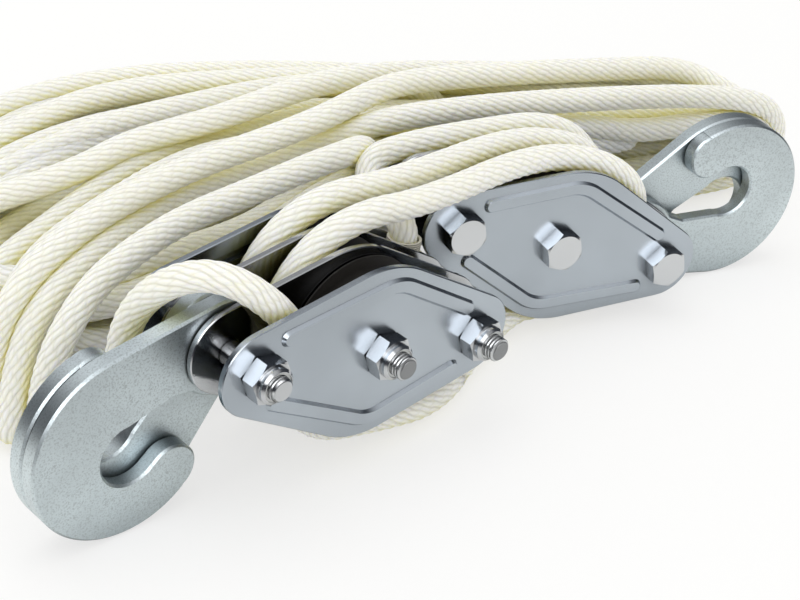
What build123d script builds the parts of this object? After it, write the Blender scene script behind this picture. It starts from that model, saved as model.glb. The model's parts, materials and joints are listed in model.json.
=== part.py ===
from build123d import *
import math
import os

# Rope tackle: two triple-sheave blocks drawn together, reeved with one rope whose
# spare length lies in a hank behind them. Each block is four lozenge plates on three
# bolts, with three sheaves on the middle bolt and a pair of mirrored hook plates on
# the outer one. X is the way the right block travels, Z is up, the floor is z = 0.

os.makedirs("parts", exist_ok=True)

# Rope and sheaves
ROPE_D = 9.5
SHEAVE_R = 26.0
SHEAVE_PITCH_R = 23.25
SHEAVE_RIM = 1.15
SHEAVE_PLAY = 0.4
SHEAVE_BORE_PLAY = 0.05
SHEAVE_HUB_R = 9.0
SHEAVE_RECESS = 2.4
GROOVE_PLAY = 0.2

# Block plates
PLATE_T = 2.2
PLATE_END_R = 14.0
PLATE_HALF_WIDTH = 29.0
PLATE_CROWN_R = 34.0
PLATE_LENGTH = 118.0
PLATE_BREAK = 0.3
AXLE_OFFSET = 3.5
HOLE_PLAY = 0.2
BEAD_WIDTH = 5.4
BEAD_HEIGHT = 1.1
BEAD_INSET = 6.6
BEAD_END_X = 37.5
BEAD_CROWN_R = 16.0

# Fasteners
BOLT_D = 8.0
HEX_AF = 13.0
HEAD_H = 5.3
NUT_HEX_H = 5.6
NUT_H = 8.0
NUT_COLLAR_D = 11.8
NUT_PLAY = 0.05
INSERT_D = 10.2
INSERT_H = 1.9
NUT_LIP = 0.5
STUB_LONG = 4.0
STUB_SHORT = 2.2
END_CHAMFER = 0.9

# Hook plates
HOOK_PLAY = 0.3
HOOK_BORE_PLAY = 0.08
HOOK_HEAD_R = 16.0
HOOK_REACH = 40.5
HOOK_OUTER_R = 31.2
BOWL_R = 10.0
BOWL_OFFSET = 4.0
NOSE_ANGLE = 15.0
SHANK_EDGE_X = 21.0
SHANK_EDGE_Y = -0.5
SHANK_RUN = 12.0
SHANK_RISE = 9.5
HOOK_BREAK = 0.7

# Where the two blocks lie: each block's inner bolt at its nut-side or head-side face
LEFT_INNER_X = -6.467
LEFT_INNER_Y = -30.388
LEFT_YAW = 15.87
LEFT_TILT = 12.1
LEFT_HOOK_ANGLE = 223.67
RIGHT_INNER_X = 6.28
RIGHT_INNER_Y = 6.51
RIGHT_TILT = 18.4
RIGHT_HOOK_ANGLE = 147.31

# Sizes that follow from those above
SHEAVE_W = ROPE_D + 2 * SHEAVE_RIM
GAP = SHEAVE_W + 2 * SHEAVE_PLAY
PITCH = PLATE_T + GAP
BLOCK_T = 3 * PITCH + PLATE_T
HOOK_T = (GAP - 3 * HOOK_PLAY) / 2
HALF_SPACING = PLATE_LENGTH / 2 - PLATE_END_R
GAP_MIDDLES = [PLATE_T + GAP / 2 + i * PITCH for i in range(3)]


def flat(sketch, y0, y1):
    """Slab of an XY sketch stood up in XZ, from depth y0 to depth y1."""
    return extrude(Plane.XZ.offset(-y1) * sketch, amount=y1 - y0)


def turned(profile_points, y_mid=0.0):
    """Ring turned about the depth axis from a list of (radius, depth) points."""
    profile = make_face(Polyline(*[(r, y + y_mid) for r, y in profile_points], close=True))
    return revolve(profile, axis=Axis.Y)


def stand_height(tilt, hook_angle):
    """Height of a block's middle that puts its hook's outer rim on the floor."""
    a = math.radians(hook_angle)
    t = math.radians(tilt)
    x = -HALF_SPACING + HOOK_REACH * math.cos(a)
    z = HOOK_REACH * math.sin(a)
    return HOOK_OUTER_R + x * math.sin(t) - z * math.cos(t)


def plate_outline():
    """Lozenge with round ends and round crowns, its straight edges tangent to both."""
    drop = PLATE_CROWN_R - PLATE_HALF_WIDTH
    far = math.hypot(HALF_SPACING, drop)
    a = math.degrees(math.atan2(drop, HALF_SPACING))
    a += math.degrees(math.acos((PLATE_CROWN_R - PLATE_END_R) / far))
    right = CenterArc((HALF_SPACING, 0), PLATE_END_R, -a, 2 * a)
    top = CenterArc((0, -drop), PLATE_CROWN_R, a, 180 - 2 * a)
    left = CenterArc((-HALF_SPACING, 0), PLATE_END_R, 180 - a, 2 * a)
    low = CenterArc((0, drop), PLATE_CROWN_R, 180 + a, 180 - 2 * a)
    edges = [right, Line(right @ 1, top @ 0), top, Line(top @ 1, left @ 0)]
    edges += [left, Line(left @ 1, low @ 0), low, Line(low @ 1, right @ 0)]
    return make_face(edges)


def bolt_places():
    """Depth-axis positions of the hook, axle and inner bolts along the plate."""
    return [-HALF_SPACING, AXLE_OFFSET, HALF_SPACING]


def plain_plate(y0):
    """One flat plate with its three bolt holes, front face at depth y0."""
    hole = Circle(BOLT_D / 2 + HOLE_PLAY)
    blank = flat(plate_outline(), y0, y0 + PLATE_T)
    blank = chamfer(blank.faces().filter_by(Axis.Y).edges(), length=PLATE_BREAK)
    return blank - [flat(Pos(x, 0) * hole, y0 - 1, y0 + PLATE_T + 1) for x in bolt_places()]


def bead_band(width):
    """Pair of V-shaped stiffening bands that follow the plate's long edges."""
    crown = PLATE_HALF_WIDTH - BEAD_INSET + 1.2
    end = crown - 0.315 * (BEAD_END_X + AXLE_OFFSET)
    points = [(-BEAD_END_X, end), (AXLE_OFFSET, crown), (BEAD_END_X, end)]
    path = FilletPolyline(*points, radius=BEAD_CROWN_R)
    band = trace(path, line_width=width)
    band += Pos(*points[0]) * Circle(width / 2)
    band += Pos(*points[2]) * Circle(width / 2)
    return band + mirror(band, about=Plane.XZ)


def beaded_plate():
    """Front cheek plate, pressed so that its two beads stand out at the front."""
    plate = plain_plate(0)
    bead = extrude(Plane.XZ * bead_band(BEAD_WIDTH), amount=BEAD_HEIGHT, taper=38)
    groove = extrude(Plane.XZ.offset(-PLATE_T) * bead_band(BEAD_WIDTH - 2), amount=BEAD_HEIGHT)
    return plate + bead - groove


def hexagon(height, chamfer_both):
    """Hexagon standing along the depth axis from 0 to -height, corners turned off."""
    corner_r = HEX_AF / math.sqrt(3)
    disc = Pos(0, -height / 2, 0) * Rot(90, 0, 0) * Cylinder(corner_r, height)
    ends = disc.edges().filter_by(GeomType.CIRCLE).sort_by(Axis.Y)
    picked = ends if chamfer_both else ends[:1]
    disc = chamfer(picked, length=0.5, length2=1.0)
    prism = flat(RegularPolygon(HEX_AF / 2, 6, major_radius=False), -height, 0)
    return prism & disc


def bolt(stub):
    """Hexagon bolt: head behind the block, plain end past the lock nut in front."""
    end = -NUT_H - stub
    shank = Pos(0, (BLOCK_T + end) / 2, 0) * Rot(90, 0, 0) * Cylinder(BOLT_D / 2, BLOCK_T - end)
    tip = shank.edges().filter_by(GeomType.CIRCLE).sort_by(Axis.Y)[0]
    shank = chamfer(tip, length=END_CHAMFER)
    head = Pos(0, BLOCK_T, 0) * Rot(180, 0, 0) * hexagon(HEAD_H, False)
    return shank + head


def lock_nut():
    """Lock nut: hexagon with a round collar that holds a plastic ring."""
    bore_r = BOLT_D / 2 + NUT_PLAY
    seat_far = -NUT_H + NUT_LIP
    seat_near = seat_far + INSERT_H
    collar_r = NUT_COLLAR_D / 2
    body = hexagon(NUT_HEX_H, True)
    collar = turned([(bore_r, -1), (collar_r, -1), (collar_r, -NUT_H + 0.8),
                     (collar_r - 0.8, -NUT_H), (INSERT_D / 2 - 0.5, -NUT_H), (bore_r, seat_far)])
    hole = Rot(90, 0, 0) * Cylinder(bore_r, 3 * NUT_H)
    seat = turned([(0, seat_near), (INSERT_D / 2, seat_near), (INSERT_D / 2, seat_far),
                   (INSERT_D / 2 - 0.5, -NUT_H - 1), (0, -NUT_H - 1)])
    return body + collar - hole - seat


def nut_insert():
    """Plastic ring in the lock nut's collar."""
    far = -NUT_H + NUT_LIP
    bore_r = BOLT_D / 2 + NUT_PLAY
    return turned([(bore_r, far), (INSERT_D / 2, far), (INSERT_D / 2, far + INSERT_H),
                   (bore_r, far + INSERT_H)])


def sheave(y_mid):
    """Grooved wheel with a round rope seat, recessed sides and a full-width hub."""
    half = SHEAVE_W / 2
    bore_r = BOLT_D / 2 + SHEAVE_BORE_PLAY
    seat_r = ROPE_D / 2 + GROOVE_PLAY
    lip = half - seat_r
    bottom = SHEAVE_PITCH_R - seat_r
    web = bottom - SHEAVE_RECESS
    inner = half - SHEAVE_RECESS
    flank = SHEAVE_R - SHEAVE_PITCH_R
    edges = [
        Line((SHEAVE_R, half), (SHEAVE_R, seat_r + lip * 0.4)),
        Line((SHEAVE_R, seat_r + lip * 0.4), (SHEAVE_R - flank, seat_r)),
        ThreePointArc((SHEAVE_R - flank, seat_r), (bottom, 0), (SHEAVE_R - flank, -seat_r)),
        Line((SHEAVE_R - flank, -seat_r), (SHEAVE_R, -seat_r - lip * 0.4)),
        Polyline((SHEAVE_R, -seat_r - lip * 0.4), (SHEAVE_R, -half), (web, -half),
                 (web - 1, -inner), (SHEAVE_HUB_R + 1, -inner), (SHEAVE_HUB_R, -half),
                 (bore_r, -half), (bore_r, half), (SHEAVE_HUB_R, half),
                 (SHEAVE_HUB_R + 1, inner), (web - 1, inner), (web, half), (SHEAVE_R, half)),
    ]
    wheel = revolve(make_face(edges), axis=Axis.Y)
    return Pos(AXLE_OFFSET, y_mid, 0) * wheel


def hook_outline():
    """Flat hook about its pivot, pointing along +X, with its nose on the +Y side."""
    head = CenterArc((0, 0), HOOK_HEAD_R, 0, 360)
    belly = CenterArc((HOOK_REACH, 0), HOOK_OUTER_R, 0, 360)
    blank = make_face(make_hull([head, belly]))
    bowl_x = HOOK_REACH + 0.5
    nose_r = (HOOK_OUTER_R - BOWL_OFFSET - BOWL_R) / 2
    nose_x = HOOK_REACH - (HOOK_OUTER_R - nose_r) * math.sin(math.radians(NOSE_ANGLE))
    nose_y = (HOOK_OUTER_R - nose_r) * math.cos(math.radians(NOSE_ANGLE))
    low = BOWL_OFFSET - BOWL_R
    far = HOOK_REACH + HOOK_OUTER_R
    mouth = make_face(Polyline(
        (bowl_x, low), (SHANK_EDGE_X, SHANK_EDGE_Y),
        (SHANK_EDGE_X - SHANK_RUN, SHANK_EDGE_Y + SHANK_RISE), (-HOOK_HEAD_R, 0),
        (-HOOK_HEAD_R, far), (nose_x, far), (nose_x, nose_y - nose_r),
        (bowl_x, BOWL_OFFSET + BOWL_R), close=True))
    mouth -= Circle(HOOK_HEAD_R)
    shape = blank - mouth - Pos(bowl_x, BOWL_OFFSET) * Circle(BOWL_R)
    shape += Pos(nose_x, nose_y) * Circle(nose_r)
    return shape - Circle(BOLT_D / 2 + HOOK_BORE_PLAY)


def hook_plate(y0, angle, mirrored):
    """Hook plate on the hook bolt, its front face at depth y0."""
    outline = hook_outline()
    if mirrored:
        outline = mirror(outline, about=Plane.XZ)
    body = flat(outline, 0, HOOK_T)
    rims = body.faces().filter_by(Axis.Y).edges()
    body = chamfer(rims, length=HOOK_BREAK)
    return Pos(-HALF_SPACING, y0, 0) * Rot(0, -angle, 0) * body


def block_parts(hook_angle, hook_stub):
    """Every piece of one block in its own frame, hook end at -X, nuts at the front."""
    cheek = beaded_plate()
    xs = bolt_places()
    hook_y = PITCH + PLATE_T + HOOK_PLAY
    return {
        "plates": [cheek, plain_plate(PITCH), plain_plate(2 * PITCH),
                   mirror(cheek, about=Plane.XZ.offset(-BLOCK_T / 2))],
        "bolts": [Pos(x, 0, 0) * bolt(s) for x, s in zip(xs, [hook_stub, STUB_LONG, STUB_LONG])],
        "nuts": [Pos(x, 0, 0) * lock_nut() for x in xs],
        "inserts": [Pos(x, 0, 0) * nut_insert() for x in xs],
        "sheaves": [sheave(y) for y in GAP_MIDDLES],
        "hooks": [hook_plate(hook_y, hook_angle, False),
                  hook_plate(hook_y + HOOK_T + HOOK_PLAY, hook_angle, True)],
    }


LEFT_Z = stand_height(LEFT_TILT, LEFT_HOOK_ANGLE)
RIGHT_Z = stand_height(-RIGHT_TILT, RIGHT_HOOK_ANGLE)
LEFT_LEAN = Rot(0, 0, LEFT_YAW) * Rot(0, LEFT_TILT, 0)
RIGHT_LEAN = Rot(0, RIGHT_TILT, 0)
left_arm = (LEFT_LEAN * Pos(HALF_SPACING, 0, 0)).position
right_arm = (RIGHT_LEAN * Pos(-HALF_SPACING, 0, 0)).position
LEFT_FLAT = Pos(LEFT_INNER_X - left_arm.X, LEFT_INNER_Y - left_arm.Y, LEFT_Z) * LEFT_LEAN
RIGHT_FLAT = Pos(RIGHT_INNER_X - right_arm.X, RIGHT_INNER_Y - right_arm.Y, RIGHT_Z) * RIGHT_LEAN
LEFT_PLACE = LEFT_FLAT
RIGHT_PLACE = RIGHT_FLAT * Pos(0, BLOCK_T, 0) * Rot(0, 0, 180)

nodes = {}
for side, place, angle, stub in [("left", LEFT_PLACE, LEFT_HOOK_ANGLE, STUB_SHORT),
                                 ("right", RIGHT_PLACE, RIGHT_HOOK_ANGLE, STUB_LONG)]:
    made = block_parts(angle, stub)
    step = 1 if side == "left" else -1
    plate_names = ["outer_front", "inner_front", "inner_rear", "outer_rear"]
    for name, piece in zip(plate_names, made["plates"][::step]):
        nodes[f"{side}_plate_{name}"] = [place * piece]
    for name, piece in zip(["hook_bolt", "axle_bolt", "inner_bolt"], made["bolts"]):
        nodes[f"{side}_{name}"] = [place * piece]
    nodes[f"{side}_lock_nuts"] = [place * piece for piece in made["nuts"]]
    nodes[f"{side}_nut_inserts"] = [place * piece for piece in made["inserts"]]
    for name, piece in zip(["front", "middle", "rear"], made["sheaves"][::step]):
        nodes[f"{side}_sheave_{name}"] = [place * piece]
    for name, piece in zip(["front", "rear"], made["hooks"][::step]):
        nodes[f"{side}_hook_{name}"] = [place * piece]

# Rope route, from the eye on the left block's inner bolt to the free end in the hank.
# Route points lie on the rope's centreline. Those round a sheave are measured from its
# axle, along the block and up, and those of the tail and the first fall take a depth in
# the block as their middle number.
LEFT_TURN = [(41.5, -29.2), (14.5, -30.5), (-13.5, -29.5), (-26.5, -13.0), (-26.8, 7.0), (-18.0, 25.5),
             (0.5, 34.5), (28.5, 34.5)]
RIGHT_TURNS = [
    [(-20.5, 27.4), (7.9, 31.2), (29.5, 24.0), (35.5, 7.0), (34.5, -12.0), (16.5, -26.5), (-4.5, -31.5)],
    [(-20.3, 27.0), (7.3, 29.9), (21.1, 24.0), (27.1, 7.0), (26.1, -12.0), (16.5, -26.5), (-4.5, -31.5)],
    [(-25.6, 21.0), (4.8, 31.1), (27.5, 24.0), (33.5, 7.0), (32.5, -12.0), (16.5, -26.5), (-4.5, -31.5)],
]
FIRST_RISE = [(40.8, 43.8, 24.2), (44.5, 55.3, 24.6)]
FIRST_CROSSING = [(-62.6, 28.5, 0.8), (-60.1, 36.0, 2.7), (-52.8, 38.1, 7.7), (-42.2, 38.1, 13.9)]
TAIL_RISE = [(-26.5, 8.5, -14.0), (-29.5, 8.5, 5.0), (-36.5, 8.5, 13.0), (-46.0, 9.0, 20.0),
             (-54.5, 12.0, 24.5), (-60.5, 18.0, 25.0), (-65.8, 25.5, 20.5), (-68.8, 33.5, 11.0),
             (-68.6, 39.0, -1.0), (-66.8, 40.5, -14.0), (-66.0, 41.0, -26.0)]
TAIL_END = [(-124.5, -15.0, 18.0), (-120.5, -4.0, 10.5), (-111.0, 7.0, 8.0), (-90.0, 24.0, 7.0)]

# Hank sections: place along X, front and rear edge, underside, front top, rear top, corner
HANK_WIDE = [
    (-178, 66, 112, 10, 34, 32, 8),
    (-168, 46, 130, 1, 46, 42, 12),
    (-152, 24, 144, 0, 55, 48, 12),
    (-137, 7, 150, 0, 58, 51, 12),
    (-118, 9, 155, 0, 61, 53, 12),
    (-85, 20, 158, 0, 64, 54, 12),
    (-50, 32, 157, 0, 65, 54, 12),
    (-24, 40, 153, 0, 65, 53, 12),
]
HANK_NARROW = [
    (-24, 68, 153, 0, 65, 53, 12),
    (70, 68, 136, 0, 62, 46, 12),
    (150, 68, 120, 0, 54, 40, 10),
    (186, 69, 112, 1, 47, 36, 9),
    (204, 74, 102, 8, 34, 30, 6),
]
LOW_SHARE = 0.25
FALL_GAP = 0.4
EYE_PLAY = 0.15
EYE_NECK = 13.9
EYE_LEAN = 6.0
SEIZING_PLAY = 0.2
SEIZING_WALL = 0.9
SEIZING_LENGTH = 3.2
SEIZING_TAIL = 3.3
FIRST_PLAY = 0.1


def on_left(along, depth, up):
    """Final place of a point measured from the left block's axle."""
    return tuple((LEFT_FLAT * Pos(AXLE_OFFSET + along, depth, up)).position)


def on_right(along, depth, up):
    """Final place of a point measured from the right block's axle."""
    return tuple((RIGHT_FLAT * Pos(along - AXLE_OFFSET, depth, up)).position)


def between(a, b, share):
    """Point on the run from a to b, at a share of its length."""
    return tuple(p + (q - p) * share for p, q in zip(a, b))


def short_of(a, b, gap):
    """Point on the run from a to b, half-way less a gap."""
    return between(a, b, 0.5 - gap / math.dist(a, b))


def rope(label, points):
    """Rope tube along straight runs joined by tangent arcs as large as the runs allow."""
    radii = []
    for before, here, after in zip(points, points[1:], points[2:]):
        come = Vector(*here) - Vector(*before)
        leave = Vector(*after) - Vector(*here)
        turn = math.radians(come.get_angle(leave))
        radii.append(0.45 * min(come.length, leave.length) / math.tan(turn / 2))
    path = FilletPolyline(*points, radius=radii)
    section = Plane(origin=path @ 0, z_dir=path % 0) * Circle(ROPE_D / 2)
    tube = sweep(section, path=path)
    share = tube.volume / (path.length * math.pi * ROPE_D ** 2 / 4)
    print(label, "length", round(path.length, 1), "volume share", round(share, 4),
          "radii", [round(r) for r in radii])
    return tube


def hank_section(x, front, rear, under, front_top, rear_top, corner):
    """Eight-sided section of the hank across X."""
    outline = Polyline(
        (front + corner, under), (rear - corner, under), (rear, under + corner),
        (rear, rear_top - corner), (rear - corner, rear_top), (front + corner, front_top),
        (front, front_top - corner), (front, under + corner), close=True)
    return Plane(origin=(x, 0, 0), x_dir=(0, 1, 0), z_dir=(1, 0, 0)) * make_face(outline)


eye_r = BOLT_D / 2 + ROPE_D / 2 + EYE_PLAY
eye_y = GAP_MIDDLES[2]
eye_place = LEFT_PLACE * Pos(HALF_SPACING, eye_y, 0) * Rot(0, -EYE_LEAN, 0)
eye_ring = Rot(90, 0, 0) * Torus(eye_r, ROPE_D / 2)
neck = Pos(0, 0, (eye_r + EYE_NECK) / 2) * Cylinder(ROPE_D / 2, EYE_NECK - eye_r)
seizing_r = ROPE_D / 2 + SEIZING_PLAY
seizing = Cylinder(seizing_r + SEIZING_WALL, SEIZING_LENGTH) - Cylinder(seizing_r, 2 * SEIZING_LENGTH)
seizing = Pos(0, 0, EYE_NECK + SEIZING_PLAY + SEIZING_LENGTH / 2) * seizing
nodes["rope_dead_end"] = [eye_place * (eye_ring + neck)]
nodes["rope_seizing"] = [eye_place * seizing]

left_turns = [[on_left(u, depth, v) for u, v in LEFT_TURN] for depth in GAP_MIDDLES]
right_turns = [[on_right(u, depth, v) for u, v in points]
               for points, depth in zip(RIGHT_TURNS, GAP_MIDDLES)]
lean = math.radians(EYE_LEAN)
first_top = EYE_NECK + 2 * SEIZING_PLAY + SEIZING_LENGTH + SEIZING_TAIL
first = [on_left(HALF_SPACING - AXLE_OFFSET - up * math.sin(lean), eye_y, up * math.cos(lean))
         for up in (EYE_NECK + FIRST_PLAY, first_top)]
first += [on_left(*point) for point in FIRST_RISE]
first += [on_right(*point) for point in FIRST_CROSSING]
tail = left_turns[0][:3] + [on_left(*point) for point in TAIL_RISE] + TAIL_END

# Where each fall takes over from the stretch round the left sheave, on the low side
lows = [between(turn[0], far[6], LOW_SHARE) for turn, far in zip(left_turns, right_turns)]
highs = [between(turn[6], turn[7], 0.5) for turn in left_turns]

nodes["rope_fall_1"] = [rope("fall 1", first + [right_turns[2][0],
                                                short_of(*right_turns[2][:2], FALL_GAP)])]
for number, k in ((2, 2), (4, 1), (6, 0)):
    ends = right_turns[k]
    nodes[f"rope_fall_{number}"] = [rope(f"fall {number}", [lows[k], ends[6],
                                                            short_of(ends[6], ends[5], FALL_GAP)])]
for number, k in ((3, 2), (5, 1)):
    ends = right_turns[k - 1]
    nodes[f"rope_fall_{number}"] = [rope(f"fall {number}", [highs[k], left_turns[k][7], ends[0],
                                                            short_of(*ends[:2], FALL_GAP)])]
nodes["rope_left_turns"] = [rope(f"left turn {k}", [lows[k]] + left_turns[k][:7] + [highs[k]])
                            for k in (2, 1)]
nodes["rope_right_turns"] = [rope(f"right turn {k}", [between(*ends[:2], 0.5)] + ends[1:6]
                                  + [between(*ends[5:], 0.5)]) for k, ends in enumerate(right_turns)]
nodes["rope_tail"] = [rope("tail", [lows[0]] + tail)]
nodes["rope_hank"] = [loft([hank_section(*row) for row in rows], ruled=True)
                      for rows in (HANK_WIDE, HANK_NARROW)]

for name, solids in nodes.items():
    shape = solids[0] if len(solids) == 1 else Compound(children=solids)
    export_step(shape, f"parts/{name}.step")
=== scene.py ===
import json
import logging
from dataclasses import dataclass, field
from enum import Enum
from typing import Dict, List, Sequence, Tuple, Union

import bpy
import numpy as np
from mathutils import Matrix


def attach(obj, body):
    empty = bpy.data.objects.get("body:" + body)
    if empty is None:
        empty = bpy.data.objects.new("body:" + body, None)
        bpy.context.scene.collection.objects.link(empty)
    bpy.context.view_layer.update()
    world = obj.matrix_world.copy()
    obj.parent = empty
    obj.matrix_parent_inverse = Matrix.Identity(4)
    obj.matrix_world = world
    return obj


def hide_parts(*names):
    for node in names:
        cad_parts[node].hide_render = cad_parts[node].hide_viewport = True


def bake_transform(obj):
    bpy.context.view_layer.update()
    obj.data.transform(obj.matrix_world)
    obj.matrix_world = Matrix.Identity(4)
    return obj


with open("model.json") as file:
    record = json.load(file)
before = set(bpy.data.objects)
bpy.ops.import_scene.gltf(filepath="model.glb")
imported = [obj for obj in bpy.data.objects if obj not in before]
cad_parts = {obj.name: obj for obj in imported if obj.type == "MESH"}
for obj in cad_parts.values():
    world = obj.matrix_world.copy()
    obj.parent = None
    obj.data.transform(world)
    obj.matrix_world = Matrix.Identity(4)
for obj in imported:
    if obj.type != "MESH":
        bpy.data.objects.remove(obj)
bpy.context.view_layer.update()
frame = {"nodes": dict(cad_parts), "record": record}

LOG = logging.getLogger("tackle")
MM = 0.001
AO_SAMPLES = 6
FLOOR_DROP = 0.3 * MM
SENSOR_WIDTH = 36.0
Number = Union[int, float]
Triple = Tuple[float, float, float]


# Shader wiring


class Wire:
    """One output socket of a shader graph, with arithmetic that makes Math nodes."""

    def __init__(self, graph: "Graph", socket: bpy.types.NodeSocket) -> None:
        """Keep the graph and the socket together."""
        self.graph = graph
        self.socket = socket

    def _math(self, operation: str, *values: Union["Wire", Number]) -> "Wire":
        """Make a Math node.

        Args:
            operation: Blender's name of the operation.
            values: its inputs, in order.

        Returns:
            The node's result.
        """
        return self.graph.make("ShaderNodeMath", list(values), operation=operation)

    def __add__(self, other: Union["Wire", Number]) -> "Wire":
        """Sum."""
        return self._math("ADD", self, other)

    __radd__ = __add__

    def __sub__(self, other: Union["Wire", Number]) -> "Wire":
        """Difference."""
        return self._math("SUBTRACT", self, other)

    def __rsub__(self, other: Number) -> "Wire":
        """Difference from a number."""
        return self._math("SUBTRACT", other, self)

    def __mul__(self, other: Union["Wire", Number]) -> "Wire":
        """Product."""
        return self._math("MULTIPLY", self, other)

    __rmul__ = __mul__

    def sine(self) -> "Wire":
        """Sine of the value in radians."""
        return self._math("SINE", self)

    def size(self) -> "Wire":
        """Absolute value."""
        return self._math("ABSOLUTE", self)

    def part(self) -> "Wire":
        """Fractional part."""
        return self._math("FRACT", self)

    def whole(self) -> "Wire":
        """Largest whole number not above the value."""
        return self._math("FLOOR", self)

    def ramp(self, low: float, high: float) -> "Wire":
        """Smooth step from 0 at low to 1 at high.

        Args:
            low: value that gives 0.
            high: value that gives 1.

        Returns:
            The stepped value.
        """
        return self.graph.make("ShaderNodeMapRange", [self, low, high, 0.0, 1.0],
                               interpolation_type="SMOOTHSTEP")


class Graph:
    """The node tree of a material or a world, with one method that makes any node."""

    def __init__(self, owner: Union[bpy.types.Material, bpy.types.World]) -> None:
        """Empty the owner's tree and keep both."""
        self.owner = owner
        owner.use_nodes = True
        self.tree = owner.node_tree
        self.tree.nodes.clear()

    @classmethod
    def material(cls, name: str) -> "Graph":
        """Start a new material."""
        return cls(bpy.data.materials.new(name))

    def make(self, kind: str, values: Union[Sequence, Dict, None] = None, out: Union[int, str] = 0,
             **settings: object) -> Wire:
        """Make a node, set its options, and wire or set its inputs.

        Args:
            kind: Blender's node type.
            values: inputs by place or by name; wires are linked, the rest are set.
            out: which output to return.
            settings: the node's own options.

        Returns:
            The chosen output.
        """
        node = self.tree.nodes.new(kind)
        for name, value in settings.items():
            setattr(node, name, value)
        pairs = values.items() if isinstance(values, dict) else enumerate(values or [])
        for key, value in pairs:
            if isinstance(value, Wire):
                self.tree.links.new(value.socket, node.inputs[key])
            else:
                node.inputs[key].default_value = value
        return Wire(self, node.outputs[out])

    def place(self) -> Wire:
        """Object coordinates."""
        return self.make("ShaderNodeTexCoord", out="Object")

    def along(self, direction: Triple) -> Wire:
        """Distance of the surface point along a direction, in metres."""
        return self.make("ShaderNodeVectorMath", [self.place(), direction], out="Value",
                         operation="DOT_PRODUCT")

    def uv(self) -> Tuple[Wire, Wire]:
        """The piece's own two surface coordinates."""
        node = self.make("ShaderNodeUVMap", out="UV", uv_map="surface")
        split = self.make("ShaderNodeSeparateXYZ", [node])
        return split, Wire(self, split.socket.node.outputs[1])

    def noise(self, scale: float, detail: float = 2.0, stretch: Triple = (1.0, 1.0, 1.0)) -> Wire:
        """Noise on object coordinates.

        Args:
            scale: cells per metre.
            detail: octaves.
            stretch: scale along each axis before the noise.

        Returns:
            A value about 0.5.
        """
        spot = self.make("ShaderNodeMapping", {"Vector": self.place(), "Scale": stretch})
        return self.make("ShaderNodeTexNoise", {"Vector": spot, "Scale": scale, "Detail": detail},
                         out=0)

    def blend(self, share: Union[Wire, Number], first: Union[Wire, Tuple], second: Union[Wire, Tuple]
              ) -> Wire:
        """Mix two colours.

        Args:
            share: 0 gives the first colour and 1 the second.
            first: a colour or a wire.
            second: a colour or a wire.

        Returns:
            The mixed colour.
        """
        node = self.tree.nodes.new("ShaderNodeMix")
        node.data_type = "RGBA"
        for key, value in ((0, share), (6, first), (7, second)):
            if isinstance(value, Wire):
                self.tree.links.new(value.socket, node.inputs[key])
            else:
                node.inputs[key].default_value = (*value, 1.0) if key else value
        return Wire(self, node.outputs[2])

    def open_air(self, reach: float) -> Wire:
        """Share of the sky that a surface point sees past things within a reach in metres; the materials
        use it as the mask for painted shade.
        """
        return self.make("ShaderNodeAmbientOcclusion", {"Distance": reach}, out="AO", samples=AO_SAMPLES)

    def bump(self, height: Wire, depth: float, strength: float = 1.0) -> Wire:
        """Normal from a height.

        Args:
            height: the height, in units of depth.
            depth: metres that one unit of height stands for.
            strength: share of the full effect.

        Returns:
            The bumped normal.
        """
        return self.make("ShaderNodeBump", {"Height": height, "Distance": depth, "Strength": strength})

    def close(self, shader: Wire) -> Union[bpy.types.Material, bpy.types.World]:
        """Join the last shader to the output and give the material or world."""
        is_world = isinstance(self.owner, bpy.types.World)
        end = self.tree.nodes.new("ShaderNodeOutputWorld" if is_world else "ShaderNodeOutputMaterial")
        self.tree.links.new(shader.socket, end.inputs[0])
        return self.owner

    def surface(self, values: Dict[str, object]) -> bpy.types.Material:
        """Finish the material with one surface shader.

        Args:
            values: the shader's inputs by name.

        Returns:
            The material.
        """
        shader = self.make("ShaderNodeBsdfPrincipled", values)
        return self.close(shader)


# Finishes


class Sheen(Enum):
    """How bright a plated surface was left."""

    MIRROR = 0.09
    BRIGHT = 0.15
    SEMI = 0.24
    SATIN = 0.40


@dataclass(frozen=True)
class ZincPlate:
    """Zinc-plated steel: cool silver with faint clouding and fine speckle."""

    name: str
    colour: Triple
    sheen: Sheen
    cloud: float = 0.05
    speckle: float = 0.0
    grain: float = 2600.0
    # share of the colour left where shade is painted into narrow gaps; 1.0 paints none
    painted_gap_shade: float = 1.0
    gap_reach: float = 25.0 * MM
    cloud_cells: float = 38.0
    ripple_cells: float = 900.0

    def material(self) -> bpy.types.Material:
        """Build the material: base clouded by slow noise and darkened by painted shade in narrow gaps,
        speckled finish.
        """
        g = Graph.material(self.name)
        slow = g.noise(self.cloud_cells, 3.0)
        fine = g.noise(self.grain, 2.0)
        dark = tuple(c * (1.0 - 2.2 * self.cloud) for c in self.colour)
        shade = g.blend(slow.ramp(0.3, 0.7), dark, self.colour)
        if self.speckle:
            deep = tuple(c * (1.0 - self.speckle) for c in self.colour)
            shade = g.blend(fine.ramp(0.44, 0.72) * 0.8, shade, deep)
        # Painted shade: the base colour darkens where the ambient-occlusion node finds other parts close
        # by.
        if self.painted_gap_shade < 1.0:
            deep = tuple(c * self.painted_gap_shade for c in self.colour)
            shade = g.blend(g.open_air(self.gap_reach).ramp(0.25, 0.75), deep, shade)
        rough = self.sheen.value + 0.10 * (slow - 0.5) + (0.06 + self.speckle * 0.5) * (fine - 0.5)
        height = g.noise(self.ripple_cells, 3.0) + 0.6 * fine
        normal = g.bump(height, 0.00003 + 0.00008 * self.speckle, 0.5)
        return g.surface({"Base Color": shade, "Metallic": 1.0, "Roughness": rough, "Normal": normal})


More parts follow.
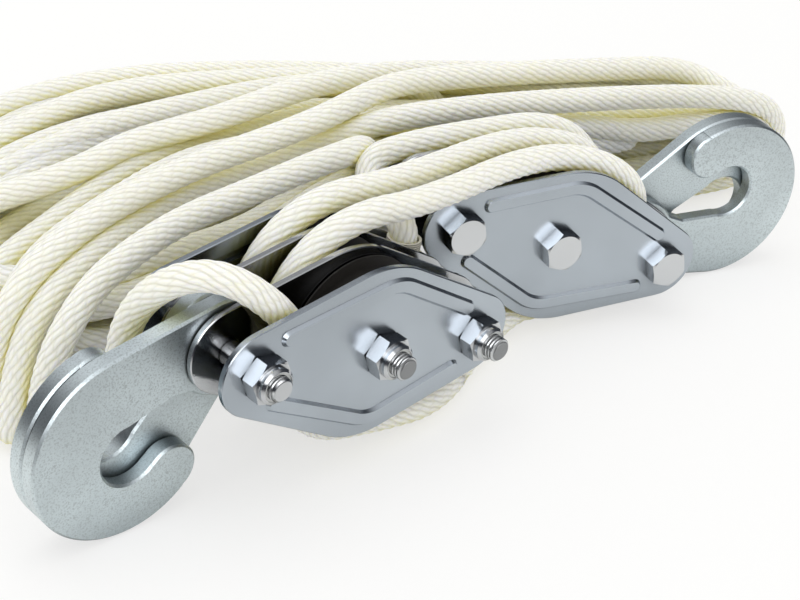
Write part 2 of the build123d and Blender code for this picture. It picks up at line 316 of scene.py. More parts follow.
@dataclass(frozen=True)
class ThreadedBolt:
    """Bright bolt with a rolled thread on the end that carries the nut."""

    name: str
    colour: Triple
    axis: Triple
    thread_from: float
    thread_to: float
    pitch: float = 1.25 * MM
    fade: float = 0.4 * MM
    gap_reach: float = 12.0 * MM
    # share of the colour left where shade is painted close to a plate
    painted_gap_shade: float = 0.3

    def material(self) -> bpy.types.Material:
        """Build the material: a saw wave of the thread's pitch along the axis with painted shade in its
        grooves, and painted shade close to a plate.
        """
        g = Graph.material(self.name)
        run = g.along(self.axis)
        wave = ((run * (1.0 / self.pitch)).part() - 0.5).size() * 2.0
        inside = run.ramp(self.thread_from, self.thread_from + self.fade)
        inside = inside * (1.0 - run.ramp(self.thread_to - self.fade, self.thread_to))
        fine = g.noise(1500.0, 3.0)
        # Painted shade: the base colour darkens in the thread's grooves, where the bump is lowest.
        dark = tuple(c * 0.42 for c in self.colour)
        shade = g.blend(inside * (1.0 - wave.ramp(0.1, 0.6)), self.colour, dark)
        # Painted shade: the base colour darkens close to a plate, where the ambient-occlusion node finds it
        # near.
        deep = tuple(c * self.painted_gap_shade for c in self.colour)
        shade = g.blend(g.open_air(self.gap_reach).ramp(0.30, 0.70), deep, shade)
        rough = 0.13 + 0.10 * (fine - 0.4) + 0.08 * inside
        normal = g.bump(wave * inside + 0.03 * fine, 0.0006, 0.9)
        return g.surface({"Base Color": shade, "Metallic": 1.0, "Roughness": rough, "Normal": normal})


@dataclass(frozen=True)
class MouldedNylon:
    """Moulded plastic with a soft gloss, faint flow marks and scuffing."""

    name: str
    colour: Triple
    worn: Triple
    rough: float
    scatter: float = 0.0

    def material(self) -> bpy.types.Material:
        """Build the material: colour lightened by scuffs, roughness by fine grain."""
        g = Graph.material(self.name)
        scuff = g.noise(420.0, 4.0, (1.0, 1.0, 3.0)).ramp(0.58, 0.8)
        grain = g.noise(3200.0, 2.0)
        shade = g.blend(scuff * 0.55, self.colour, self.worn)
        rough = self.rough + 0.18 * scuff + 0.08 * (grain - 0.5)
        normal = g.bump(grain + scuff, 0.00004, 0.6)
        return g.surface({"Base Color": shade, "Roughness": rough, "Normal": normal,
                          "Subsurface Weight": self.scatter, "Subsurface Radius": (0.002, 0.002, 0.002),
                          "Subsurface Scale": 1.0})


@dataclass(frozen=True)
class BraidFinish:
    """White solid-braid rope: yarn ridges, stitches along each ridge, painted light on the stitch crowns,
    painted shade on their sides and in the hollows, and painted olive shade where strands lie close.
    """

    name: str = "rope_braid"
    # the rope's white with painted light, for the stitch crowns
    painted_lit_crest: Triple = (0.95, 0.94, 0.88)
    # painted shade on the stitches' sides
    painted_shade_flank: Triple = (0.77, 0.76, 0.70)
    # painted shade in the hollows between ridges
    painted_shade_hollow: Triple = (0.67, 0.65, 0.57)
    # olive colour of the painted shade where other rope lies close
    shade: Triple = (0.86, 0.80, 0.32)
    ridges: int = 12
    stitch: float = 3.4 * MM
    reach: float = 18.0 * MM
    warmth: Triple = (0.98, 0.965, 0.88)
    yarns_per_metre: float = 2600.0

    def material(self) -> bpy.types.Material:
        """Build the material from the piece's surface coordinates.

        The first coordinate is metres along the rope, the second the share of a turn that
        follows the ridges. Each ridge is cut into stitches, offset by half a stitch from one
        ridge to the next, and its yarn runs slanted across it. The stitch crowns are painted
        lit, and their flanks and the hollows between ridges are painted in shade. Where other
        rope stands close by, painted shade turns the white to the olive that light takes on
        between white strands.

        Returns:
            The material.
        """
        g = Graph.material(self.name)
        run, turn = g.uv()
        lane = turn * float(self.ridges) + 0.08 * (run * (np.pi / self.stitch)).sine()
        offset = lane.part() - 0.5
        across = offset.size() * 2.0
        step = run * (1.0 / self.stitch) + lane.whole() * 0.5 + offset * 0.9
        knot = (step.part() - 0.5).size() * 2.0
        yarn = ((run * self.yarns_per_metre) + lane * 3.0).part() - 0.5
        grain = (1.0 - across * across) * (1.0 - 0.65 * knot * knot)
        tone = g.noise(26.0, 2.0)
        dust = g.noise(700.0, 3.0)
        # Painted light and shade: stitch crowns take the lit crest colour, their sides the shaded flank
        # colour.
        shade = g.blend((grain + 0.25 * (dust - 0.5)).ramp(-0.05, 0.85), self.painted_shade_flank, self.painted_lit_crest)
        # Painted shade: the base colour darkens in the hollows between ridges.
        shade = g.blend(across.ramp(0.6, 1.0) * 0.35, shade, self.painted_shade_hollow)
        warm = tuple(c * f for c, f in zip(self.painted_lit_crest, self.warmth))
        shade = g.blend(tone.ramp(0.45, 0.75) * 0.30, shade, warm)
        # Painted shade: where the ambient-occlusion node finds other rope close by, the base colour turns
        # to the olive shade colour.
        shade = g.blend(g.open_air(self.reach).ramp(0.03, 0.74), self.shade, shade)
        normal = g.bump(grain + 0.10 * yarn.size() + 0.20 * dust, 0.0005, 0.8)
        rough = 0.72 + 0.12 * (dust - 0.5)
        return g.surface({"Base Color": shade, "Roughness": rough, "Normal": normal,
                          "Subsurface Weight": 0.6, "Subsurface Radius": (0.010, 0.009, 0.005),
                          "Subsurface Scale": 1.0, "Sheen Weight": 0.2, "Sheen Roughness": 0.5})


@dataclass(frozen=True)
class TwineFinish:
    """Whipping twine wound in close turns."""

    name: str
    colour: Triple
    axis: Triple
    pitch: float = 0.8 * MM

    def material(self) -> bpy.types.Material:
        """Build the material: round turns of twine along the axis, with painted shade between them."""
        g = Graph.material(self.name)
        wave = ((g.along(self.axis) * (1.0 / self.pitch)).part() - 0.5).size() * 2.0
        dust = g.noise(2400.0, 2.0)
        dark = tuple(c * 0.45 for c in self.colour)
        # Painted shade: the base colour darkens in the creases between turns.
        shade = g.blend(wave.ramp(0.55, 1.0), self.colour, dark)
        normal = g.bump(1.0 - wave * wave + 0.15 * dust, 0.0005, 0.9)
        return g.surface({"Base Color": shade, "Roughness": 0.75 + 0.1 * dust, "Normal": normal})


# Rope


@dataclass
class Route:
    """A rope's line: control points of one smooth spline, in millimetres."""

    name: str
    points: Sequence[Triple]
    steps: int = 10

    def line(self) -> np.ndarray:
        """Read the spline's points back from Blender.

        Returns:
            Points along the smooth line, in metres, one row each.
        """
        curve = bpy.data.curves.new(self.name + "_line", "CURVE")
        curve.dimensions = "3D"
        curve.resolution_u = self.steps
        spline = curve.splines.new("NURBS")
        spline.points.add(len(self.points) - 1)
        rows = np.ones((len(self.points), 4), dtype=np.float32)
        rows[:, :3] = np.asarray(self.points, dtype=np.float32) * MM
        spline.points.foreach_set("co", rows.ravel())
        spline.order_u = 3
        spline.use_endpoint_u = True
        spline.resolution_u = self.steps
        holder = bpy.data.objects.new(self.name + "_line", curve)
        bpy.context.scene.collection.objects.link(holder)
        mesh = bpy.data.meshes.new_from_object(holder)
        read = np.zeros(len(mesh.vertices) * 3, dtype=np.float32)
        mesh.vertices.foreach_get("co", read)
        bpy.data.objects.remove(holder)
        bpy.data.curves.remove(curve)
        bpy.data.meshes.remove(mesh)
        return read.reshape(-1, 3).astype(np.float64)


@dataclass
class BraidedTube:
    """Rope surface: a section of rounded ridges carried along a line with a steady twist."""

    diameter: float = 9.5 * MM
    ridges: int = 12
    per_ridge: int = 4
    ridge_depth: float = 0.32 * MM
    lead: float = 56.0 * MM
    any_side: Triple = (0.31, 0.17, 0.93)

    @staticmethod
    def lengths(line: np.ndarray) -> np.ndarray:
        """Distance along the line at each of its points."""
        return np.concatenate([[0.0], np.cumsum(np.linalg.norm(np.diff(line, axis=0), axis=1))])

    def carried(self, line: np.ndarray) -> Tuple[np.ndarray, np.ndarray]:
        """Two directions across the line that turn no more than the line does.

        Each station's first direction is the one before it, turned by the small rotation
        that takes the line's heading there to its heading here.

        Args:
            line: the points of the line.

        Returns:
            The two directions at every point.
        """
        heading = np.gradient(line, axis=0)
        heading /= np.linalg.norm(heading, axis=1)[:, None]
        start = np.cross(heading[0], self.any_side)
        sides = [start / np.linalg.norm(start)]
        for now in heading[1:]:
            side = sides[-1] - now * (sides[-1] @ now)
            sides.append(side / np.linalg.norm(side))
        first = np.array(sides)
        return first, np.cross(heading, first)

    def mesh(self, name: str, line: np.ndarray, offset: float = 0.0) -> bpy.types.Object:
        """Build the rope along a line, with both ends drawn in and closed.

        At length s and share t of a turn the surface lies at the line plus r(t) times the
        direction at angle 2 pi (t + s / lead), where r(t) is the rope's radius less the ridge
        depth times the squared cosine of the place across the ridge.

        Args:
            name: the object's name.
            line: the centre line, in metres.
            offset: length of rope before this piece, so that the twist runs on.

        Returns:
            The new object.
        """
        run = self.lengths(line) + offset
        first, second = self.carried(line)
        count = self.ridges * self.per_ridge
        turn = np.arange(count + 1) / count
        radius = self.diameter / 2 - self.ridge_depth * np.cos(np.pi * self.ridges * turn) ** 2
        angle = 2 * np.pi * (turn[None, :] + run[:, None] / self.lead)
        flat = (first[:, None, :] * np.cos(angle)[..., None]
                + second[:, None, :] * np.sin(angle)[..., None])
        grid = line[:, None, :] + flat * radius[None, :, None]
        texture = np.stack(np.broadcast_arrays(run[:, None], turn[None, :]), axis=-1)
        grid = np.concatenate([self.drawn_in(grid[:1], line[0]), grid,
                               self.drawn_in(grid[-1:], line[-1])])
        texture = np.concatenate([texture[:1], texture, texture[-1:]])
        return grid_object(name, grid, texture)

    @staticmethod
    def drawn_in(ring: np.ndarray, middle: np.ndarray) -> np.ndarray:
        """The ring shrunk nearly to its middle, to close an end."""
        return middle + (ring - middle) * 0.02


def grid_object(name: str, grid: np.ndarray, texture: np.ndarray) -> bpy.types.Object:
    """Make a mesh of quads from a grid of points.

    Args:
        name: the object's name.
        grid: points, rows by columns by three, the last column over the first.
        texture: two surface coordinates for each point of the grid.

    Returns:
        The object, linked to the scene, smooth-shaded.
    """
    rows, columns = grid.shape[:2]
    around = columns - 1
    points = grid[:, :around].reshape(-1, 3)
    row = np.arange(rows - 1)[:, None]
    col = np.arange(around)[None, :]
    after = (col + 1) % around
    quads = np.stack([row * around + col, row * around + after,
                      (row + 1) * around + after, (row + 1) * around + col], axis=-1).reshape(-1, 4)
    corner = np.stack([texture[:-1, :-1], texture[:-1, 1:], texture[1:, 1:], texture[1:, :-1]], axis=2)
    mesh = bpy.data.meshes.new(name)
    mesh.vertices.add(len(points))
    mesh.vertices.foreach_set("co", points.astype(np.float32).ravel())
    mesh.loops.add(quads.size)
    mesh.loops.foreach_set("vertex_index", quads.astype(np.int32).ravel())
    mesh.polygons.add(len(quads))
    mesh.polygons.foreach_set("loop_start", np.arange(0, quads.size, 4, dtype=np.int32))
    mesh.polygons.foreach_set("use_smooth", np.ones(len(quads), dtype=bool))
    layer = mesh.uv_layers.new(name="surface")
    layer.data.foreach_set("uv", corner.reshape(-1, 2).astype(np.float32).ravel())
    mesh.update(calc_edges=True)
    mesh.validate()
    made = bpy.data.objects.new(name, mesh)
    bpy.context.scene.collection.objects.link(made)
    return made


@dataclass
class ReevedRope:
    """The rope from its eye through both blocks, and the tail over the left hook."""

    tube: BraidedTube
    left_rear: Sequence[Triple] = (
        (-22.8, 4.6, 5.0), (-48.4, -2.7, 9.4), (-74.6, -10.1, 16.2), (-83.5, -12.7, 35.1),
        (-79.7, -11.6, 54.7), (-67.7, -8.2, 70.9), (-48.5, -2.7, 76.9), (-22.2, 4.8, 73.2))
    left_middle: Sequence[Triple] = (
        (-18.7, -9.6, 5.0), (-44.4, -16.9, 9.4), (-70.5, -24.4, 16.2), (-79.4, -26.9, 35.1),
        (-75.7, -25.8, 54.7), (-63.7, -22.4, 70.9), (-44.4, -17.0, 76.9), (-18.1, -9.5, 72.8))
    right_front: Sequence[Triple] = (
        (34.9, 15.0, 69.0), (63.0, 15.0, 63.6), (81.2, 15.0, 50.0), (81.6, 15.0, 31.9),
        (74.6, 15.0, 14.2), (53.0, 15.0, 6.2), (31.4, 15.0, 8.0))
    right_middle: Sequence[Triple] = (
        (34.9, 29.8, 68.5), (62.0, 29.8, 62.6), (73.3, 29.8, 52.6), (73.6, 29.8, 34.6),
        (66.6, 29.8, 16.9), (53.0, 29.8, 6.2), (31.4, 29.8, 8.0))
    right_rear: Sequence[Triple] = (
        (28.0, 44.6, 64.5), (60.0, 44.6, 64.5), (79.3, 44.6, 50.6), (79.7, 44.6, 32.6),
        (72.7, 44.6, 14.9), (53.0, 44.6, 6.2), (31.4, 44.6, 8.0))
    first: Sequence[Triple] = (
        (-15.5, 6.7, 46.5), (-14.9, 7.4, 52.0), (-14.0, 13.0, 54.0), (-13.5, 25.0, 52.5),
        (-13.6, 33.0, 53.5), (-13.6, 40.6, 57.0), (-8.6, 44.2, 61.5), (3.0, 44.6, 63.2), (14.0, 44.6, 64.0))
    low_front: Triple = (-3.1, -14.2, 5.8)
    tail: Sequence[Triple] = (
        (-14.7, -23.9, 5.0), (-40.3, -31.2, 9.4), (-66.5, -38.6, 16.2), (-75.6, -41.2, 34.1),
        (-74.6, -40.9, 53.3), (-79.5, -42.3, 62.6), (-87.2, -44.0, 71.4), (-95.1, -43.1, 77.6),
        (-102.3, -38.9, 79.2), (-110.2, -33.4, 75.9), (-117.1, -27.0, 67.3), (-120.9, -22.4, 55.6),
        (-122.2, -21.2, 42.6), (-124.0, -21.2, 30.6), (-124.5, -15.0, 18.0), (-120.5, -4.0, 10.5),
        (-111.0, 7.0, 8.0), (-90.0, 24.0, 7.0))

    def through_blocks(self, material: bpy.types.Material) -> float:
        """Build the rope from the eye to the last fall, running between the blocks.

        Args:
            material: the rope's finish.

        Returns:
            Length of the piece in metres.
        """
        points = [*self.first, *self.right_rear, *self.left_rear, *self.right_middle,
                  *self.left_middle, *self.right_front, self.low_front]
        line = Route("reeved_rope", points, 12).line()
        piece = self.tube.mesh("reeved_rope", line)
        piece.data.materials.append(material)
        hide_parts(*[f"rope_fall_{n}" for n in range(1, 7)], "rope_left_turns",
                    "rope_right_turns")
        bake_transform(piece)
        return float(self.tube.lengths(line)[-1])

    def over_hook(self, material: bpy.types.Material) -> float:
        """Build the tail, from under the left front sheave over the hook to the hank.

        Args:
            material: the rope's finish.

        Returns:
            Length of the piece in metres.
        """
        points = [self.low_front, *self.tail]
        line = Route("rope_tail_line", points, 12).line()
        piece = self.tube.mesh("hanging_tail", line)
        piece.data.materials.append(material)
        length = float(self.tube.lengths(line)[-1])
        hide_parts("rope_tail")
        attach(piece, "left_block")
        return length


@dataclass
class DeadEnd:
    """The eye of rope round the left block's inner bolt."""

    tube: BraidedTube
    centre: Triple = (-16.885, 6.259, 33.537)
    along: Triple = (0.9405, 0.2674, -0.2096)
    up: Triple = (0.2016, 0.0573, 0.9778)
    ring: float = 8.9
    neck: Sequence[float] = (13.9, 11.5)
    lean: float = 6.0
    corner_room: float = 1.03
    step: int = 24

    def build(self, material: bpy.types.Material) -> None:
        """Build the eye: a ring of rope that rises into its neck.

        Args:
            material: the rope's finish.
        """
        lean = np.radians(self.lean)
        over = np.array(self.up) * np.cos(lean) - np.array(self.along) * np.sin(lean)
        side = np.array(self.along) * np.cos(lean) + np.array(self.up) * np.sin(lean)
        angle = np.radians(np.arange(0, 361, self.step))
        round_bolt = np.cos(angle)[:, None] * over + np.sin(angle)[:, None] * side
        ring = np.array(self.centre) + self.ring * self.corner_room * round_bolt
        neck = np.array(self.centre) + np.array(self.neck)[:, None] * over
        line = Route("eye_line", np.concatenate([neck, ring]).tolist(), 8).line()
        piece = self.tube.mesh("rope_eye", line)
        piece.data.materials.append(material)
        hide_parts("rope_dead_end")
        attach(piece, "left_block")


@dataclass(frozen=True)
class Loop:
    """One loop of the hank: columns of its two passes, how deep it is nested, its right end."""

    column: int
    under: int
    level: int
    end: float


@dataclass
class Hank:
    """The spare rope in nested loops that lie bundled at the right and fan out at the left."""

    tube: BraidedTube
    stations: Sequence[float] = (-137, -118, -100, -85, -50, -32, -18, -5, 70, 150, 186, 204)
    front: Sequence[float] = (7, 9, 15, 20, 32, 42, 56, 68, 68, 68, 69, 74)
    rear: Sequence[float] = (150, 155, 157, 158, 157, 154, 152, 150, 136, 120, 112, 102)
    front_top: Sequence[float] = (54, 60, 62, 64, 65, 66, 66, 65, 62, 54, 47, 34)
    rear_top: Sequence[float] = (50, 53, 54, 54, 54, 54, 53, 53, 46, 40, 36, 30)
    left_shares: Sequence[float] = (0.0, 0.12, 0.25, 0.4, 0.6, 0.8)
    left_ends: Sequence[float] = (-134, -143, -153, -164, -174, -170)
    columns: int = 8
    bundled: Dict[int, float] = field(default_factory=lambda: {0: 0.0, 2: 0.26, 4: 0.52, 6: 0.77, 7: 1.0})
    loops: Sequence[Loop] = (
        Loop(0, 0, 1, 186), Loop(2, 2, 0, 190), Loop(4, 4, 0, 194), Loop(6, 6, 0, 187), Loop(7, 7, 0, 192),
        Loop(5, 5, 0, 58), Loop(3, 3, 1, 66), Loop(1, 1, 2, 60), Loop(5, 1, 1, 68),
        Loop(7, 4, 1, 172), Loop(6, 2, 1, 180), Loop(4, 0, 1, 174), Loop(2, 7, 1, 181), Loop(0, 1, 0, 195),
        Loop(0, 4, 2, 124), Loop(2, 6, 2, 118), Loop(4, 7, 2, 126), Loop(6, 0, 2, 116), Loop(7, 2, 2, 120),
        Loop(5, 3, 2, 60), Loop(3, 1, 2, 54))
    laid: Dict[int, Sequence[Triple]] = field(default_factory=lambda: {
        0: ((150, 74, 37), (122, 74, 37), (92, 74.5, 44), (60, 75, 46), (30, 75.5, 44), (10, 76.5, 43.5),
            (-3, 72.5, 46), (-6, 65.5, 50.5), (-4.5, 59, 55.5), (-11, 52, 60.8), (-22, 46.5, 62),
            (-34, 43.3, 61.5), (-58, 35.5, 60), (-85, 26.3, 59.2), (-105.8, 14.1, 58), (-120.7, 5.9, 54),
            (-130.6, -0.4, 46.5), (-136.1, -1.8, 37), (-138.7, -0.3, 26), (-139.8, 1.3, 15.5),
            (-140.5, 1.5, 7.5), (-134, 10, 5.2)),
        1: ((160, 102, 48), (118, 98, 54), (83, 96, 58), (55, 96, 60), (33, 94, 62), (15, 88, 64),
            (-3, 78, 64.5), (-20, 69, 64.5), (-44, 62, 63), (-66.3, 56.9, 61.5), (-88.9, 47.5, 60.5),
            (-108.2, 38.2, 59), (-126.4, 27.4, 55.5), (-139.6, 20, 49), (-146.5, 18.2, 39),
            (-149.5, 17.4, 28), (-152, 16, 16), (-153.5, 14.5, 7), (-147, 23, 5.2)),
        2: ((150, 107, 43), (100, 112, 48), (60, 114, 53), (25, 112, 58), (-9, 104, 60.5), (-32, 95, 60.5),
            (-55, 88, 59.5), (-83, 86, 57), (-104, 78, 53)),
        13: ((150, 75, 48.5), (120, 74, 52.5), (90, 73.5, 55.5), (60, 73, 58), (36, 73, 59), (14, 74, 58.5),
             (-8, 74.5, 55), (-31.8, 70.8, 50), (-59.3, 63, 50), (-87.4, 49.6, 50.5), (-112.3, 30, 51),
             (-130.3, 16.8, 47), (-138.6, 12.9, 39), (-142.8, 11.1, 30), (-145.8, 9, 20), (-148.5, 6, 11),
             (-149.5, 4.5, 5.2), (-142, 13, 5.2))})
    fallen: Sequence[int] = (0, 1, 13)
    half_strand: float = 4.9
    layer: float = 9.2
    least_rise: float = 11.0
    lift: float = 5.5
    spacing: float = 33.0
    first_start: float = -58.0
    right_back: Sequence[float] = (16.0, 3.5, 0.0, 3.5, 16.0)
    right_rise: Sequence[float] = (0.02, 0.20, 0.52, 0.82, 0.99)
    right_room: Tuple[float, float] = (36.0, 48.0)
    left_back: Sequence[float] = (30.0, 11.0, 1.0, 0.0, 8.0, 28.0)
    left_rise: Sequence[float] = (1.0, 0.88, 0.60, 0.32, 0.09, 0.0)
    left_shift: Sequence[float] = (0.0, 0.1, 0.3, 0.6, 0.85, 1.0)
    left_room: Tuple[float, float] = (48.0, 58.0)
    left_look: float = -140.0
    left_nesting: float = 9.0
    slack_most: float = 3.0
    phase_over: float = 1.3
    over_by_level: Tuple[float, float, float] = (0.0, 0.07, -0.05)
    pieces: int = 4
    seed: int = 7

    def edge(self, x: np.ndarray, table: Sequence[float]) -> np.ndarray:
        """A boundary of the hank at places along it."""
        return np.interp(x, self.stations, table)

    @staticmethod
    def fan(x: np.ndarray) -> np.ndarray:
        """How far the strands have spread: 0 in the bundle, 1 at the left."""
        return np.clip((20.0 - x) / 90.0, 0, 1)

    def spot(self, x: np.ndarray, share: np.ndarray, level: float, rise: Union[float, np.ndarray]
             ) -> np.ndarray:
        """Points of a loop.

        The place across is the front edge plus the share of the width left between the
        rope's own radii. The height runs from the loop's lower pass, a radius and the level's
        depth above the floor, to its upper pass, as far below the hank's top. At the left the
        first nested layer rises between the strands that have spread there.

        Args:
            x: places along the hank.
            share: share of the width, 0 at the front.
            level: layers in from the outside.
            rise: 0 for the lower pass and 1 for the upper.

        Returns:
            Points, one row each, in millimetres.
        """
        r = self.half_strand
        near, far = self.edge(x, self.front), self.edge(x, self.rear)
        y = near + r + np.clip(share, 0, 1) * (far - near - 2 * r)
        high = self.edge(x, self.front_top) * (1 - share) + self.edge(x, self.rear_top) * share
        low = r + self.layer * level
        spread = self.fan(x) * np.clip((0.36 - np.abs(share - 0.61)) / 0.04, 0, 1)
        sunk = self.layer * level - self.lift * spread * max(0.0, 1.0 - abs(level - 1.0))
        top = np.maximum(high - r - sunk, low + self.least_rise)
        return np.stack([x, y, low + (top - low) * rise], axis=1)

    def across(self, x: np.ndarray, column: int, level: int, phase: float) -> np.ndarray:
        """Share of the hank's width at places along a pass.

        Columns stand evenly at the left. To the right of the short loops the long ones close
        up. Two slow waves along the loop keep it from lying straight, nested loops lie half a
        column over at the left, and all are drawn forward towards their left ends.

        Args:
            x: places along the hank.
            column: the pass's column.
            level: layers in from the outside.
            phase: start of its waves.

        Returns:
            The share at each place.
        """
        even = column / (self.columns - 1.0)
        close = np.clip((x - 40.0) / 70.0, 0, 1)
        close = close * close * (3 - 2 * close)
        draw = 1.0 - (0.30 - 0.18 * even) * np.clip((-60.0 - x) / 85.0, 0, 1) ** 1.5
        fan = self.fan(x)
        over = self.over_by_level[level] * fan
        wave = (0.016 + 0.02 * fan) * np.sin(x / 43.0 + phase) + 0.010 * np.sin(x / 19.0 + 2 * phase)
        share = even * (1 - close) + self.bundled.get(column, even) * close
        return np.clip(share + over + wave, 0, 1) * draw

    def turns(self) -> np.ndarray:
        """Control points of the whole hank, loop by loop from its lower pass on.

        Some loops' upper passes are laid from listed points, and the fallen ones right down to the floor.

        Returns:
            Points, one row each, in millimetres.
        """
        rng = np.random.default_rng(self.seed)
        phases = rng.uniform(0, 2 * np.pi, len(self.loops) + 1)
        slack = rng.uniform(-self.slack_most, self.slack_most, len(self.loops) + 1)
        rows: List[np.ndarray] = []
        start = self.first_start
        for number, loop in enumerate(self.loops):
            after = self.loops[min(number + 1, len(self.loops) - 1)]
            phase = phases[number]
            x = np.arange(start, loop.end - self.right_room[0], self.spacing)
            rows.append(self.spot(x, self.across(x, loop.under, loop.level, phase), loop.level, 0.0))
            x = loop.end - np.array(self.right_back)
            rise = np.array(self.right_rise)
            share = self.across(x, loop.under, loop.level, phase)
            above = self.across(x, loop.column, loop.level, phase + self.phase_over)
            share = share + (above - share) * rise
            rows.append(self.spot(x, share, loop.level, rise))
            at = np.full(len(self.left_shift), self.left_look)
            share = self.across(at, loop.column, loop.level, phase + self.phase_over)
            target = self.across(at, after.under, after.level, phases[number + 1])
            share = share + (target - share) * np.array(self.left_shift)
            left = np.interp(share[2], self.left_shares, self.left_ends)
            left = left + self.left_nesting * loop.level + slack[number]
            x = np.arange(loop.end - self.right_room[1], left + self.left_room[0], -self.spacing)
            upper = self.across(x, loop.column, loop.level, phase + self.phase_over)
            upper = self.spot(x, upper, loop.level, 1.0)
            rows.append(np.array(self.laid[number]) if number in self.laid else upper)
            x = left + np.array(self.left_back)
            turn = self.spot(x, share, (loop.level + after.level) / 2, np.array(self.left_rise))
            rows.append(turn[-1:] if number in self.fallen else turn)
            start = left + self.left_room[1]
        return np.concatenate(rows)

    def build(self, material: bpy.types.Material, start: Triple) -> float:
        """Build the hank as cords that follow one another.

        Args:
            material: the rope's finish.
            start: where the tail ends, in millimetres.

        Returns:
            Length of rope in metres.
        """
        points = [start] + [tuple(p) for p in self.turns()]
        line = Route("hank_line", points, 11).line()
        run = self.tube.lengths(line)
        cuts = np.searchsorted(run, np.linspace(0, run[-1], self.pieces + 1))
        cuts[-1] = len(line) - 1
        for number, (a, b) in enumerate(zip(cuts[:-1], cuts[1:])):
            part = line[a:b + 1]
            piece = self.tube.mesh(f"hank_{number + 1}", part, run[a])
            piece.data.materials.append(material)
            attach(piece, "left_block")
        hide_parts("rope_hank")
        return float(run[-1])


# Blocks and hooks


@dataclass
class Blocks:
    """The two blocks' plates, bolts, nuts, sheaves and hooks, dressed as packed."""

    left_axis: Triple = (0.27346, -0.96188, 0.0)
    right_axis: Triple = (0.0, -1.0, 0.0)
    silver: Triple = (0.475, 0.522, 0.574)
    bright: Triple = (0.62, 0.635, 0.655)
    pale: Triple = (0.69, 0.768, 0.80)
    twine: Triple = (0.62, 0.60, 0.52)
    neck_axis: Triple = (0.1022, 0.0291, 0.9943)
    left_thread: Tuple[float, float] = (0.022, 0.060)
    right_thread: Tuple[float, float] = (-0.080, -0.046)

    def finishes(self) -> Dict[str, bpy.types.Material]:
        """One material for each slot of the record that the CAD nodes use."""
        return {
            # The gap values below set how dark the painted shade in each part's narrow gaps is.
            "cheek_plate": ZincPlate("zinc_cheek", self.silver, Sheen.SEMI, 0.04,
                                     painted_gap_shade=0.25).material(),
            "inner_plate": ZincPlate("zinc_inner", self.bright, Sheen.MIRROR, 0.02,
                                     painted_gap_shade=0.12).material(),
            "hook_plate": ZincPlate("zinc_hook", self.pale, Sheen.SATIN, 0.06, speckle=0.34,
                                    grain=1700.0, painted_gap_shade=0.45).material(),
            "lock_nut": ZincPlate("zinc_nut", self.bright, Sheen.BRIGHT, 0.03,
                                  painted_gap_shade=0.45).material(),
            "nut_insert": MouldedNylon("nylon_ring", (0.72, 0.74, 0.74), (0.8, 0.8, 0.78), 0.4,
                                       scatter=0.1).material(),
            "sheave": MouldedNylon("nylon_sheave", (0.022, 0.02, 0.018), (0.07, 0.065, 0.06),
                                   0.42).material(),
        }

    def dress(self, record: Dict, nodes: Dict[str, bpy.types.Object]) -> int:
        """Give every hard CAD node its finish.

        Args:
            record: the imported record.
            nodes: CAD objects by name.

        Returns:
            How many nodes were dressed.
        """
        made = self.finishes()
        left = ThreadedBolt("bolt_left", self.bright, self.left_axis, *self.left_thread).material()
        right = ThreadedBolt("bolt_right", self.bright, self.right_axis, *self.right_thread).material()
        twine = TwineFinish("twine", self.twine, self.neck_axis).material()
        count = 0
        for row in record["subparts"]:
            name, slot = row["node"], row["material_slot"]
            chosen = made.get(slot)
            if slot == "bolt":
                chosen = left if name.startswith("left") else right
            if slot == "seizing":
                chosen = twine
            if chosen is None:
                continue
            data = nodes[name].data
            data.materials.clear()
            data.materials.append(chosen)
            count += 1
        return count


# Studio


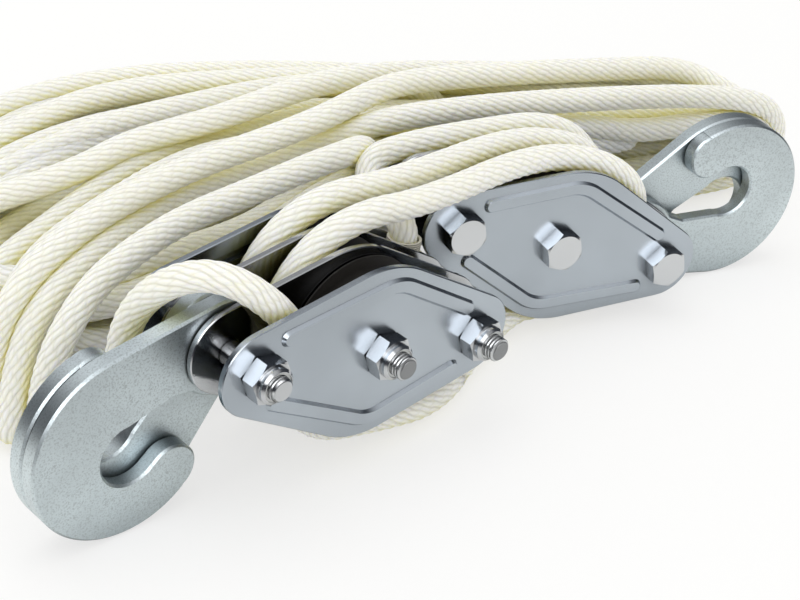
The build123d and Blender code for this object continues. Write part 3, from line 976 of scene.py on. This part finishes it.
@dataclass
class Studio:
    """Camera, floor, lamps and world."""

    eye: Triple = (-262.25, -441.39, 340.95)
    right: Triple = (0.89523, -0.43823, 0.08065)
    down: Triple = (-0.16935, -0.50203, -0.84811)
    ahead: Triple = (0.41215, 0.74560, -0.52365)
    lens: float = 80.26
    half_floor: float = 6.0
    glow: float = 0.65
    dark: Triple = (0.05, 0.055, 0.065)
    panel: Triple = (-0.25, -0.76, 0.60)
    panel_level: Triple = (2.2, 2.2, 2.2)
    daylight: Tuple[float, float, float, float] = (0.985, 0.98, 0.945, 1.0)
    daylight_level: float = 0.92

    def camera(self) -> None:
        """Stand the camera where the photograph was taken from."""
        data = bpy.data.cameras.new("camera")
        data.lens = self.lens
        data.sensor_width = SENSOR_WIDTH
        data.clip_start = 0.01
        data.clip_end = 20.0
        holder = bpy.data.objects.new("camera", data)
        x, y, z = np.array(self.right), -np.array(self.down), -np.array(self.ahead)
        place = np.eye(4)
        place[:3, 0], place[:3, 1], place[:3, 2] = x, y, z
        place[:3, 3] = np.array(self.eye) * MM
        holder.matrix_world = Matrix(place.tolist())
        bpy.context.scene.collection.objects.link(holder)
        bpy.context.scene.camera = holder

    def floor(self) -> None:
        """Lay a pale floor that keeps the object's shadow, painted dark for glossy rays away from its
        middle and towards the front.
        """
        mesh = bpy.data.meshes.new("floor")
        half = self.half_floor
        mesh.from_pydata([(x, y, -FLOOR_DROP) for x, y in
                          ((-half, -half), (half, -half), (half, half), (-half, half))], [], [(0, 1, 2, 3)])
        floor = bpy.data.objects.new("floor", mesh)
        bpy.context.scene.collection.objects.link(floor)
        g = Graph.material("floor")
        # Painted dark reflection: for glossy rays only, the floor darkens away from its middle and towards
        # the front; other rays see it pale.
        far = g.make("ShaderNodeVectorMath", [g.place()], out="Value", operation="LENGTH")
        far = far.ramp(0.30, 0.75)
        gloss = g.make("ShaderNodeLightPath", out="Is Glossy Ray")
        seen = Wire(g, gloss.socket.node.outputs["Is Camera Ray"])
        front = g.along((0.0, -1.0, 0.0)).ramp(0.055, 0.26)
        dark = 1.0 - (1.0 - far) * (1.0 - front)
        shade = g.blend(dark * gloss, (0.90, 0.90, 0.90), (0.05, 0.05, 0.06))
        matt = g.make("ShaderNodeBsdfDiffuse", {"Color": shade})
        glow = g.make("ShaderNodeEmission", {"Color": (1.0, 1.0, 1.0, 1.0), "Strength": 1.0})
        both = g.make("ShaderNodeMixShader", [seen * self.glow, matt, glow])
        mesh.materials.append(g.close(both))

    def world(self) -> None:
        """White for the camera, plain soft light, and for gloss a dark room with pale panels."""
        g = Graph(bpy.data.worlds.new("studio"))
        above = g.along((0.0, 0.0, 1.0)).ramp(0.48, 0.88)
        room = g.blend(above, self.dark, (1.0, 1.0, 1.0))
        panel = g.along(self.panel).ramp(0.86, 0.95)
        room = g.blend(panel, room, self.panel_level)
        soft = g.make("ShaderNodeBackground", {"Color": self.daylight, "Strength": self.daylight_level})
        gloss = g.make("ShaderNodeBackground", {"Color": room, "Strength": 1.0})
        pale = g.make("ShaderNodeBackground", {"Color": (1.0, 1.0, 1.0, 1.0), "Strength": 1.0})
        path = g.make("ShaderNodeLightPath", out="Is Glossy Ray")
        seen = Wire(g, path.socket.node.outputs["Is Camera Ray"])
        through = Wire(g, path.socket.node.outputs["Is Transmission Ray"])
        lit = g.make("ShaderNodeMixShader", [path, soft, gloss])
        both = g.make("ShaderNodeMixShader", [seen + through, lit, pale])
        bpy.context.scene.world = g.close(both)

    @staticmethod
    def lamp(name: str, place: Triple, aim: Triple, size: float, power: float) -> None:
        """Hang a square soft lamp.

        Args:
            name: the lamp's name.
            place: where it hangs, in metres.
            aim: the point it faces.
            size: its side in metres.
            power: watts.
        """
        data = bpy.data.lights.new(name, "AREA")
        data.size = size
        data.energy = power
        holder = bpy.data.objects.new(name, data)
        z = np.array(place) - np.array(aim)
        z /= np.linalg.norm(z)
        x = np.cross((0.0, 1.0, 0.001), z)
        x /= np.linalg.norm(x)
        frame4 = np.eye(4)
        frame4[:3, 0], frame4[:3, 1], frame4[:3, 2] = x, np.cross(z, x), z
        frame4[:3, 3] = place
        holder.matrix_world = Matrix(frame4.tolist())
        bpy.context.scene.collection.objects.link(holder)

    def light(self) -> None:
        """Hang a large lamp overhead and a softer one at the front."""
        self.lamp("overhead", (-0.25, 0.15, 1.5), (0.0, 0.0, 0.0), 1.2, 5.2)
        self.lamp("front", (-0.9, -1.3, 0.9), (0.0, 0.0, 0.03), 0.9, 3.3)

    def build(self) -> None:
        """Set up camera, floor, world, lamps and the view."""
        self.camera()
        self.floor()
        self.world()
        self.light()
        bpy.context.scene.view_settings.view_transform = "Standard"


def main() -> None:
    """Build and dress the tackle."""
    logging.basicConfig(level=logging.INFO, format="%(name)s: %(message)s")
    Studio().build()
    tube = BraidedTube()
    rope = BraidFinish().material()
    reeved = ReevedRope(tube)
    LOG.info("rope through the blocks %.3f m", reeved.through_blocks(rope))
    LOG.info("tail %.3f m", reeved.over_hook(rope))
    DeadEnd(tube).build(rope)
    hank = Hank(tube)
    LOG.info("hank %.2f m", hank.build(rope, reeved.tail[-1]))
    LOG.info("dressed %d hard nodes", Blocks().dress(frame["record"], frame["nodes"]))


if __name__ == "__main__":
    main()
